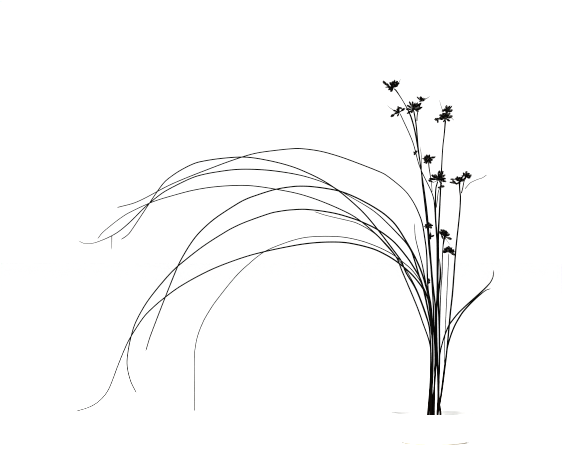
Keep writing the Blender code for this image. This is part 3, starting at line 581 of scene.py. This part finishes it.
culm_finish = ribbed_culm()
for number, node in enumerate(STEM_NODES):
    rows = smoothed(rooted(stem_rows(node)), STEM_STEP)
    mouth = SHEATH_LOWEST + SHEATH_SPACING * (number * SHEATH_STRIDE % len(STEM_NODES))
    drawn_piece(node + "_culm", three_sided(STEM_CORNERS), rows, culm_finish, "stem", node,
                swell=sheathed(mouth))
for node in STALK_NODES:
    rows = smoothed(stem_rows(node), STALK_STEP)
    drawn_piece(node + "_ray", three_sided(STALK_CORNERS), rows, culm_finish, "stem", node)


# The leaves are long grassy blades, folded along a sharp keel into a V and drawn out to a fine dry
# point. Fine veins run along them, and their lower ends are brown like the stems' sheaths. The bract
# below the heads at the right is a small leaf.
LEAF_NODES = ["leaf_long_%d" % number for number in range(1, 10)]
LEAF_NODES += ["leaf_short", "leaf_middle", "leaf_right_1", "leaf_right_2"]
BLADE_STEP = 2.5 * MM
BRACT_STEP = 1.5 * MM
BLADE_CREASE = 50
BLADE_SECTION = [
    (-1.00, 0.20), (-0.72, 0.20), (-0.38, 0.52), (-0.12, 0.90), (0.00, 1.00), (0.12, 0.90),
    (0.38, 0.52), (0.72, 0.20), (1.00, 0.20), (0.96, 0.06), (0.70, 0.00), (0.34, 0.30),
    (0.00, 0.62), (-0.34, 0.30), (-0.70, 0.00), (-0.96, 0.06)]


def leaf_rows(node):
    """Centre, side and keel of each section of a blade, from its two edges and its keel's corner."""
    rows = []
    last_side = Vector((0, 1, 0))
    for ring in sections_of(node, 4):
        pairs = [(a, b) for index, a in enumerate(ring) for b in ring[index + 1:]]
        edge, other = max(pairs, key=lambda pair: (pair[0] - pair[1]).length)
        centre = (edge + other) / 2
        side = (other - edge) / 2
        if side.dot(last_side) < 0:
            side = -side
        last_side = side
        rest = [corner for corner in ring if corner not in (edge, other)]
        keel = max((corner - centre for corner in rest), key=lambda reach: reach.length)
        rows.append((centre, side, keel))
    return rows


BLADE_STREAKS = (4.0, 38.0, 4.0, 0.6)
VEIN_PITCH = 27.0
VEIN_SHARE = 0.15
RIB_EDGE = (0.0, 0.012)
RIB_SHARE = 0.6
FOOT_FADE = (0.03, 0.08)
FOOT_WAVER = 0.03
FOOT_SHARE = 0.7
TIP_FADE = (0.93, 1.06)
TIP_WAVER = 0.10
TIP_SHARE = 0.8
BLADE_RELIEF = 0.10 * MM
VEIN_RELIEF = 0.6
BLADE_STREAK_RELIEF = 0.5
BLADE_ROUGHNESS = 0.38
BLADE_STREAK_ROUGHNESS = 0.25
VEIN_ROUGHNESS = 0.08
LEAF_BLACK = (0.0038, 0.0046, 0.0028, 1)
LEAF_DULL = (0.0105, 0.0110, 0.0064, 1)
LEAF_RIB = (0.016, 0.016, 0.009, 1)
DRY_TIP = (0.026, 0.020, 0.013, 1)


def veined_leaf():
    finish = Finish("veined_leaf", Specular_IOR_Level=0.08)
    across = finish.attribute("across")
    streak = finish.streaks(*BLADE_STREAKS)
    veins = (across * VEIN_PITCH).sine() * 0.5 + 0.5
    rib = 1 - (across * across).ramp(*RIB_EDGE)
    blade = streak.ramp(*STREAK_EDGE).mix(LEAF_BLACK, LEAF_DULL)
    blade = (rib * RIB_SHARE + veins * VEIN_SHARE).mix(blade, LEAF_RIB)
    foot = 1 - (finish.attribute("along") + streak * FOOT_WAVER).ramp(*FOOT_FADE)
    tip = (finish.attribute("share") + streak * TIP_WAVER).ramp(*TIP_FADE)
    blade = (foot * FOOT_SHARE).mix(blade, SHEATH_BROWN)
    finish.feed(
        Base_Color=(tip * TIP_SHARE).mix(blade, DRY_TIP),
        Roughness=streak * BLADE_STREAK_ROUGHNESS + veins * VEIN_ROUGHNESS + BLADE_ROUGHNESS,
        Normal=(veins * VEIN_RELIEF + streak * BLADE_STREAK_RELIEF).bump(BLADE_RELIEF))
    return finish


leaf_finish = veined_leaf()
for node in LEAF_NODES:
    rows = smoothed(rooted(leaf_rows(node)), BLADE_STEP)
    drawn_piece(node + "_blade", BLADE_SECTION, rows, leaf_finish, "leaf", node, crease=BLADE_CREASE)
rows = smoothed(stem_rows("bract_1"), BRACT_STEP)
drawn_piece("long_bract", BLADE_SECTION, rows, leaf_finish, "leaf", "bract_1", crease=BLADE_CREASE)


# Two thin dry strands stand loose from the others. A torn fibre hangs straight down from a long leaf
# near its tip, and a slightly bowed bract stands beside a stem.
FIBRE_PLACE = -485.7 * MM
FIBRE_REACH = Vector((0, 0, -21)) * MM
STEM_BRACT_HEIGHT = 408 * MM
STEM_BRACT_REACH = Vector((-1.5, -0.5, 36)) * MM
STEM_BRACT_BOW = 0.8 * MM
STRAND_WIDTH = 1.1 * MM
STRAND_CORNERS = 6
STRAND_ROWS = 9
STRAND_SLIMMING = 0.5


def centre_near(rows, axis, place):
    """The centre of the row that is nearest to a place on one axis."""
    return min(rows, key=lambda row: abs(row[0][axis] - place))[0]


def loose_strand(name, node, start, reach, bow):
    """A strand that reaches out from a leaf or a stem, bowed to the side, half as wide at its tip."""
    rows = []
    for share in np.linspace(0.0, 1.0, STRAND_ROWS):
        centre = start + reach * share + Vector((bow * math.sin(math.pi * share), 0, 0))
        half = STRAND_WIDTH / 2 * (1.0 - STRAND_SLIMMING * share)
        rows.append((centre, Vector((half, 0, 0)), Vector((0, half, 0))))
    drawn_piece(name, three_sided(STRAND_CORNERS), rows, leaf_finish, "leaf", node)


torn = centre_near(smoothed(leaf_rows("leaf_long_6"), BLADE_STEP), 0, FIBRE_PLACE)
loose_strand("torn_fibre", "leaf_long_6", torn, FIBRE_REACH, 0.0)
joint = centre_near(smoothed(stem_rows("stem_6"), STEM_STEP), 2, STEM_BRACT_HEIGHT)
loose_strand("stem_bract", "stem_6", joint, STEM_BRACT_REACH, STEM_BRACT_BOW)


# Each flower head is a tight cluster of spikelets on one core. A spikelet is a spindle of dark scales
# in a spiral, with thread-like stigmas between them, and thin bracts stand below some heads. Each is
# given by its tip's x, z and depth, its width, and where it grows from if that isn't the head's centre.
HEADS = [
    ("flower_head_1", (-62.6, 532.6), 31.5, [
        (-70.2, 534, -3, 3.2), (-77, 542.2, 2, 3.2, -68.9, 533.8, -2.5), (-65.4, 526.8, 1, 3.2),
        (-73, 538.8, -1, 3.2, -66, 533.8, -1),
        (-69.2, 529.8, 4, 2.4), (-66.8, 540.8, -3, 2.8), (-63.2, 542, 3, 3.0), (-59.8, 543.8, 0, 2.8),
        (-55.8, 542.4, -3, 3.0), (-53.2, 540, 3, 3.0), (-55, 535.6, -4, 1.8),
        (-73.8, 533.4, -3, 1.3, -69, 533.8, -2.5), (-62, 537, -7, 3.0), (-64, 535, 7, 3.0),
        (-50.7, 546, 0, 0.9, -54.9, 538.7, 2.5)]),
    ("flower_head_2", (-52.5, 495.9), -13.0, [
        (-59.6, 494, -2, 2.8), (-65, 489.4, 2, 3.4, -58.2, 494.4, -1.6), (-56.3, 501.2, 3, 3.2),
        (-54.6, 504.6, -3, 2.4), (-48.8, 501.6, -3, 2.4, -54.3, 503.2, -2.5), (-44.9, 501.6, 3, 2.8),
        (-61.8, 498.8, -2, 2.2), (-55.6, 490, -3, 2.0),
        (-71.5, 506.8, 1, 0.8, -60, 498.2, -1.6)]),
    ("flower_head_3", (-31.3, 500.4), 16.0, [
        (-37.8, 511.4, 2, 2.4), (-33, 511.6, -3, 2.4), (-29.2, 509.8, 4, 2.2), (-41, 506.2, -3, 2.4),
        (-42.4, 500.4, 1, 2.4), (-40.8, 494.2, -3, 2.4), (-34.6, 495.2, 3, 2.4), (-25.4, 510, -4, 2.2),
        (-20.9, 508.8, 2, 3.2), (-18.8, 503.2, 1, 2.4), (-21.4, 500.8, 5, 2.4),
        (-24.1, 497.4, -2, 2.4)]),
    ("flower_head_4", (-19.7, 512.5), 28.5, [
        (-20.9, 519.4, 1, 3.4), (-14, 515.9, -2, 3.0), (-26.2, 518.8, 0, 1.8), (-23, 512.4, -3, 1.5),
        (-17.4, 517.2, 5, 2.4), (-18.5, 515, -5, 2.4), (-6.8, 520, 2, 1.1, -15.5, 515, -1.5)]),
    ("flower_head_5", (16.6, 486.2), 0.0, [
        (7, 486.6, -2, 4.0), (0.6, 484.8, 2, 3.6, 8.8, 486.5, -1.6), (4.9, 480.2, 3, 2.2, 4.8, 485.7, 0),
        (8, 492, 3, 3.6), (12.6, 494.8, -3, 3.4), (15.6, 494.4, 3, 2.4), (22.8, 494.4, 3, 3.2),
        (26.5, 490, -2, 3.4), (22.8, 482.8, -4, 2.8), (13.4, 481.4, 3, 1.8), (18, 489, -6, 3.0),
        (15, 489, 6, 3.0), (18.9, 498.2, 0, 3.0), (15.4, 501, -2, 2.8, 18.4, 495.6, 0),
        (11.5, 497.2, -2, 3.0, 16, 500, -1.6), (18, 505.8, 2, 3.2, 18.4, 495.6, 0),
        (22.8, 505.2, -3, 2.6, 18.4, 495.6, 0), (26.9, 499.2, 0, 3.4, 18.4, 495.6, 0),
        (26, 505.2, 3, 1.5, 18.4, 495.6, 0), (29.5, 483.6, 1, 0.9, 24.4, 489.1, -1.5),
        (7.2, 514.8, 1, 0.8, 12.4, 497.8, -1.9)]),
    ("flower_head_6", (-29.2, 435.4), -17.0, [
        (-30.3, 431.8, -1, 2.8), (-26.2, 437.8, -2, 3.0), (-31.6, 436.4, -3, 1.6)]),
    ("flower_head_7", (-9.5, 423.8), -20.0, [
        (-15.6, 424, -2, 2.6), (-17.9, 426.8, 2, 1.8), (-14.8, 429.4, 3, 3.8), (-11.8, 431.8, -3, 3.4),
        (-7.6, 432, -3, 2.6), (-4.6, 428.4, 1, 2.8), (1, 428.6, 1, 2.6, -5.7, 427.5, 0.8),
        (-5.2, 419.6, -3, 3.2), (-2.8, 424.8, -2, 2.8), (-16, 420.2, -2, 2.2), (-12.8, 418.8, 3, 2.2),
        (-9, 427, -6, 3.0), (-10, 426, 6, 3.0)]),
    ("flower_head_8", (5.6, 394.6), -22.5, [
        (-7.2, 396.2, 2, 2.8), (-3.8, 401.6, -3, 3.2), (0.8, 402.2, 4, 3.2), (7.4, 407.8, -2, 3.4),
        (12.2, 407.2, 3, 3.8), (15.6, 401.8, -3, 2.8), (16.4, 396.4, 2, 2.8), (17, 392, -2, 2.6),
        (10.8, 388.6, 3, 2.0), (-2.6, 390.4, 0, 1.2), (-8.8, 394, -3, 3.0, -1.8, 390.8, 0),
        (4, 399, -7, 3.2), (8, 398, 7, 3.2)]),
    ("flower_head_9", (9, 384), -26.5, [
        (14.6, 384.9, -1, 3.0), (10.4, 387.4, -3, 2.4), (5.2, 382.5, -3, 2.2)]),
    ("flower_head_10", (37.9, 391.2), -48.5, [
        (32.6, 387.8, 2, 2.2), (27, 393.4, -3, 2.6, 33.7, 388.5, 1.6),
        (23, 391.2, 3, 1.8, 33.3, 388.2, 1.7), (24, 395.4, 2, 1.8, 33.3, 395.4, -2.2),
        (31.6, 397, -3, 3.2), (34, 399.4, 3, 2.8), (37.6, 398.4, -3, 3.4), (41, 398.8, 3, 3.4),
        (45.2, 395.6, -3, 3.4), (37, 395, -6, 3.2), (39, 394, 6, 3.2), (37.2, 386.2, 0, 2.2)]),
    ("flower_head_11", (46.6, 398.6), -44.0, [
        (43.2, 405, -2, 2.6), (48.2, 407.2, 2, 3.0), (52.2, 404.6, -3, 2.8), (55.3, 401.2, 1, 3.2),
        (53.6, 397.6, 3, 2.8), (46, 402.4, -5, 3.0), (48.5, 401, 6, 3.0),
        (45, 394.8, 1, 2.6), (41.8, 398.2, -2, 2.0, 44, 403, -1),
        (38.9, 401.2, 2, 1.0, 45.2, 401.2, -0.8)]),
    ("flower_head_12", (-9.4, 325.2), 5.6, [
        (-14, 327.2, -3, 2.6), (-13.4, 322.2, -3, 2.6), (-15.7, 324.6, -2, 1.4), (-8.2, 330.4, -2, 3.0),
        (-5.2, 328.2, -4, 2.8), (-2.3, 326.3, -1, 2.2), (-4.2, 322.2, -3, 2.8), (-10, 326, -7, 2.8)]),
    ("flower_head_13", (-6.5, 308.7), 10.5, [
        (-0.7, 311.2, 1, 2.4), (-5.7, 313.4, -2, 2.8), (-6.1, 315.6, -2, 1.6), (-5.9, 305.4, -1, 2.4),
        (-5.4, 320.4, -1, 0.7, -6.2, 313, -1.2)]),
    ("flower_head_14", (14.9, 309.6), -25.5, [
        (7, 316.8, 1, 3.2), (10.2, 319.8, -3, 3.8), (14.2, 319.4, 3, 3.8), (17.5, 318, -3, 3.6),
        (20.2, 316.2, 2, 2.0), (22.5, 313, -2, 3.4), (20.6, 307.2, 1, 1.8),
        (25.5, 305.4, 1, 3.2, 19.4, 307.7, 0.8), (13, 314, -7, 3.2), (16, 314, 7, 3.2),
        (12.8, 306.2, -2, 2.2, 9.4, 314.4, -1), (15.2, 304.4, 0, 2.4),
        (24.8, 295.4, 2, 0.6)]),
    ("flower_head_15", (21.4, 286.2), 29.0, [
        (12, 287, 2, 3.6), (14.8, 291.4, -3, 3.6), (18.2, 293.4, 3, 3.4), (21.4, 294.6, -3, 3.4),
        (25.6, 292.8, 3, 3.4), (29.2, 289.4, -2, 3.4), (30.1, 286.6, 2, 2.4), (30.7, 281.9, 3, 2.8),
        (19, 290, -7, 3.2), (23, 290, 7, 3.2)]),
    ("flower_bud", (-8.5, 242.8), 15.2, [
        (-8.7, 246.4, 0, 3.2), (-7.4, 244.8, -1, 2.8), (-8.4, 239, 0, 3.2)]),
]
BRACT_WIDTH = 1.3
PLUMP = 1.25
HEAD_CREASE = 60
HEAD_SEED = 5
SIGHT = Vector((-230.25, -4215.0, 326.75))


def set_back(x, z, depth):
    """The point at this depth that the camera at SIGHT sees at (x, z), all in millimetres."""
    stretch = 1.0 - depth / SIGHT.y
    return Vector((SIGHT.x + (x - SIGHT.x) * stretch, depth, SIGHT.z + (z - SIGHT.z) * stretch)) * MM


FULLNESS = -0.3
POLE_RADIUS = 0.01
BODY_STEPS = (8, 6)
SCALE_STEPS = (6, 4)
STIGMA_STEPS = (3, 4)


def spindle_shape(name, sides, bands):
    """A spindle from 0 to 1 along Z, one across at its middle."""
    form = bmesh.new()
    bmesh.ops.create_uvsphere(form, u_segments=sides, v_segments=bands, radius=1.0)
    for corner in form.verts:
        fuller = max(POLE_RADIUS, math.hypot(corner.co.x, corner.co.y)) ** FULLNESS / 2
        corner.co = (corner.co.x * fuller, corner.co.y * fuller, (corner.co.z + 1) / 2)
    return small_shape(name, form)


def spindle(form, shape, start, end, width, thickness, facing, tone):
    """A spindle from start to end, with its broad side facing out."""
    axis = end - start
    across = axis.cross(facing).normalized()
    outward = across.cross(axis).normalized()
    placed = Matrix((across * width, outward * thickness, axis)).transposed().to_4x4()
    placed.translation = start
    strew(form, shape, placed, tone)


LONG_SPIKELET = 7 * MM
BRANCH_SHARE = 0.28
BRANCH_WIDTH = 1.4 * MM
BRANCH_SUNK = 0.1
BRANCH_LAP = 0.2
BODY_WIDTH = 0.80
BODY_LENGTH = 0.98
SCALE_SPACING = 0.55 * MM
FEWEST_SCALES = 7
SCALE_TURN = math.radians(137.5)
SCALE_JITTER = 0.2
LOWEST_SCALE = 0.06
SCALE_CLIMB = 0.78
BELLY_START = 0.16
BELLY_SPAN = 0.80
SCALE_ROOT = 0.24
SCALE_LENGTH = 0.28
SCALE_WIDTH = 0.70
SCALE_THICKNESS = 0.28
SCALE_FLARE = 0.14
FLARE_SPREAD = 0.12
STIGMA_COUNTS = (1, 2, 3)
STIGMA_PLACES = (0.5, 0.85)
STIGMA_ROOT = 0.3
STIGMA_RISE = 0.6
STIGMA_SPREAD = 0.8
STIGMA_LENGTHS = (0.8, 1.6)
STIGMA_WIDTH = 0.14 * MM
BRANCH_TONE = 0.1
BODY_TONE = 0.2
STIGMA_TONE = 1.0


def spikelet(form, start, tip, width, draw):
    """One spikelet: a slim body under scales that overlap like tiles, with one to three stigmas.

    A long one stands on a short thin branch.
    """
    axis = tip - start
    along = axis.normalized()
    side = along.orthogonal().normalized()
    foot = start
    if axis.length > LONG_SPIKELET:
        foot = start + axis * BRANCH_SHARE
        spindle(form, scale_shape, start - axis * BRANCH_SUNK, foot + axis * BRANCH_LAP,
                BRANCH_WIDTH, BRANCH_WIDTH, side, BRANCH_TONE)
    axis = tip - foot
    body = width * BODY_WIDTH
    spindle(form, body_shape, foot, foot + axis * BODY_LENGTH, body, body, side, BODY_TONE)
    count = max(FEWEST_SCALES, round(axis.length / SCALE_SPACING))
    for index in range(count):
        rise = LOWEST_SCALE + SCALE_CLIMB * index / (count - 1)
        belly = math.sin(math.pi * (rise * BELLY_SPAN + BELLY_START))
        outward = side.copy()
        turn = SCALE_TURN * index + draw.uniform(-SCALE_JITTER, SCALE_JITTER)
        outward.rotate(Matrix.Rotation(turn, 3, along))
        base = foot + axis * rise + outward * width * SCALE_ROOT * belly
        flare = SCALE_FLARE + FLARE_SPREAD * draw.random()
        end = base + axis * SCALE_LENGTH + outward * width * flare * belly
        spindle(form, scale_shape, base, end, width * SCALE_WIDTH * belly, width * SCALE_THICKNESS,
                outward, draw.random())
    for index in range(draw.choice(STIGMA_COUNTS)):
        outward = side.copy()
        outward.rotate(Matrix.Rotation(math.tau * draw.random(), 3, along))
        base = foot + axis * draw.uniform(*STIGMA_PLACES) + outward * width * STIGMA_ROOT
        lean = (along * STIGMA_RISE + outward * STIGMA_SPREAD).normalized()
        end = base + lean * draw.uniform(*STIGMA_LENGTHS) * MM
        spindle(form, thread_shape, base, end, STIGMA_WIDTH, STIGMA_WIDTH, outward, STIGMA_TONE)


BRACT_ROWS = 9
BRACT_KEEL = 0.4
BRACT_SLIMMING = 0.75
BRACT_SAG = 0.05


def thin_bract(form, start, tip, width):
    """A bract is a narrow keeled blade that sags a little and grows slimmer towards its tip."""
    axis = tip - start
    side = axis.cross(Vector((0, 1, 0))).normalized() * width / 2
    keel = Vector((0, 1, 0)) * width * BRACT_KEEL
    rows = []
    for index in range(BRACT_ROWS):
        share = index / (BRACT_ROWS - 1)
        slim = 1.0 - BRACT_SLIMMING * share
        sag = Vector((0, 0, -1)) * axis.length * BRACT_SAG * math.sin(math.pi * share)
        rows.append((start + axis * share + sag, side * slim, keel * slim))
    draw_out(form, BLADE_SECTION, rows)


SCALE_NOISE = (1400.0, 3.0)
SCALE_MOTTLE = 1.3
EDGE_FADE = (0.6, 1.0)
EDGE_SHARE = 0.7
TONE_SHARE = 0.25
PATCH_NOISE = (520.0, 1.0)
PATCH_EDGE = (0.58, 0.66)
PATCH_SHARE = 0.3
PATCH_TONE_SHARE = 0.6
SCALE_RELIEF = 0.12 * MM
SCALE_ROUGHNESS = 0.5
SCALE_MOTTLE_ROUGHNESS = 0.25
SCALE_BLACK = (0.0032, 0.0024, 0.0018, 1)
SCALE_EDGE = (0.015, 0.0105, 0.007, 1)
SCALE_DRY = (0.29, 0.28, 0.25, 1)


def dark_scales():
    finish = Finish("dark_scales", Specular_IOR_Level=0.06)
    tone = finish.attribute("tone")
    place = finish.place()
    mottle = place.noise(*SCALE_NOISE)
    edge = finish.attribute("along").ramp(*EDGE_FADE) * EDGE_SHARE + tone * TONE_SHARE
    scale = (edge * mottle * SCALE_MOTTLE).mix(SCALE_BLACK, SCALE_EDGE)
    dry = place.noise(*PATCH_NOISE).ramp(*PATCH_EDGE) * (tone * PATCH_TONE_SHARE + PATCH_SHARE)
    finish.feed(
        Base_Color=dry.mix(scale, SCALE_DRY),
        Roughness=mottle * SCALE_MOTTLE_ROUGHNESS + SCALE_ROUGHNESS,
        Normal=mottle.bump(SCALE_RELIEF))
    return finish


body_shape = spindle_shape("spikelet_body", *BODY_STEPS)
scale_shape = spindle_shape("spikelet_scale", *SCALE_STEPS)
thread_shape = spindle_shape("stigma", *STIGMA_STEPS)
scale_finish = dark_scales()
draw = random.Random(HEAD_SEED)
for node, centre, depth, spikelets in HEADS:
    head = bmesh.new()
    bracts = bmesh.new()
    for x, z, back, width, *foot in spikelets:
        foot_x, foot_z, foot_back = foot or (*centre, 0)
        start = set_back(foot_x, foot_z, depth + foot_back)
        tip = set_back(x, z, depth + back)
        if width < BRACT_WIDTH:
            thin_bract(bracts, start, tip, width * MM)
        else:
            spikelet(head, start, tip, width * PLUMP * MM, draw)
    new_piece(node + "_spikelets", head, scale_finish, "flower", node, crease=HEAD_CREASE)
    if bracts.verts:
        bmesh.ops.recalc_face_normals(bracts, faces=bracts.faces)
        new_piece(node + "_bracts", bracts, leaf_finish, "leaf", node, crease=BLADE_CREASE)
    else:
        bracts.free()


# The studio: a white floor that fades into a white background, under large soft lights, and the camera
# straight in front of the clump at half of its height, far enough away to see it without foreshortening.
FLOOR_SIZE = 40.0
ROOM_WHITE = (1, 1, 1, 1)
ROOM_STRENGTH = 1.03
LIT_POINT = Vector((-0.15, 0, 0.2))
LIGHTS = (
    ("key_light", (-1.2, -2.6, 2.2), 1.8, 110.0),
    ("side_light", (0.7, -2.8, 2.4), 1.8, 28.0),
    ("fill_light", (1.9, 1.4, 2.2), 1.6, 10.0))
CAMERA_LENS = 180.0
CAMERA_SENSOR = 36.0
CAMERA_REACH = 50.0
VIEW_GAMMA = 0.65
PAPER_CLOUD_SCALE = 2.0
PAPER_CLOUD_SHARE = 0.2
PAPER_WHITE = (0.97, 0.97, 0.97, 1)
PAPER_SHADE = (0.95, 0.95, 0.95, 1)


def paper_floor():
    finish = Finish("paper_floor", Roughness=0.9, Specular_IOR_Level=0.1)
    cloud = finish.place().noise(PAPER_CLOUD_SCALE)
    finish.feed(Base_Color=(cloud * PAPER_CLOUD_SHARE).mix(PAPER_WHITE, PAPER_SHADE))
    return finish


ground = bmesh.new()
bmesh.ops.create_grid(ground, x_segments=2, y_segments=2, size=FLOOR_SIZE / 2)
ground_mesh = bpy.data.meshes.new("studio_floor")
ground.to_mesh(ground_mesh)
ground.free()
ground_mesh.materials.append(paper_floor().material)
floor = bpy.data.objects.new("studio_floor", ground_mesh)
bpy.context.scene.collection.objects.link(floor)

world = bpy.data.worlds.new("white_room")
world.use_nodes = True
background = world.node_tree.nodes["Background"]
background.inputs["Color"].default_value = ROOM_WHITE
background.inputs["Strength"].default_value = ROOM_STRENGTH
bpy.context.scene.world = world
for name, spot, size, power in LIGHTS:
    lamp = bpy.data.lights.new(name, "AREA")
    lamp.size = size
    lamp.energy = power
    light = bpy.data.objects.new(name, lamp)
    light.location = spot
    light.rotation_euler = (LIT_POINT - Vector(spot)).to_track_quat("-Z", "Y").to_euler()
    bpy.context.scene.collection.objects.link(light)

lens = bpy.data.cameras.new("camera")
lens.lens = CAMERA_LENS
lens.sensor_width = CAMERA_SENSOR
lens.clip_end = CAMERA_REACH
camera = bpy.data.objects.new("camera", lens)
camera.location = SIGHT * MM
camera.rotation_euler = (math.pi / 2, 0, 0)
bpy.context.scene.collection.objects.link(camera)
bpy.context.scene.camera = camera
bpy.context.scene.view_settings.view_transform = "Standard"
bpy.context.scene.view_settings.gamma = VIEW_GAMMA
bpy.context.scene.cycles.pixel_filter_type = "BOX"
